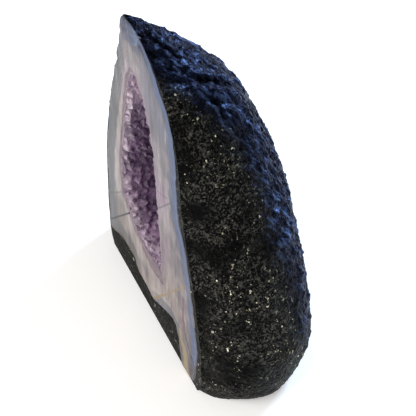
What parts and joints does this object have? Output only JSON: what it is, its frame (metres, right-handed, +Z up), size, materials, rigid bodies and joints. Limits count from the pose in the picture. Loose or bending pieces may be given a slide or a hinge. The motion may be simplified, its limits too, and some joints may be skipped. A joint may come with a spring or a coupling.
{
  "type": "amethyst geode",
  "caption": "Standing cathedral amethyst geode: sawn, polished quartz face with a deep crystal-lined hollow, dark lumpy crust and a flat base.",
  "frame": {"origin": "middle of the outline of the flat base, on the surface that the geode stands on", "axes": "+Z up, -Y out of the sawn polished face, +X to the right of someone who looks at that face"},
  "size_m": [0.4026, 0.1782, 0.4296],
  "materials": {
    "basalt_crust": "glossy black, lumpy",
    "polished_quartz": "polished pale lavender grey",
    "amethyst": "glossy violet crystal faces"
  },
  "bodies": {
    "root": {"rind": "basalt_crust", "quartz_wall": "polished_quartz", "amethyst_druse": "amethyst"}
  },
  "joints": []
}
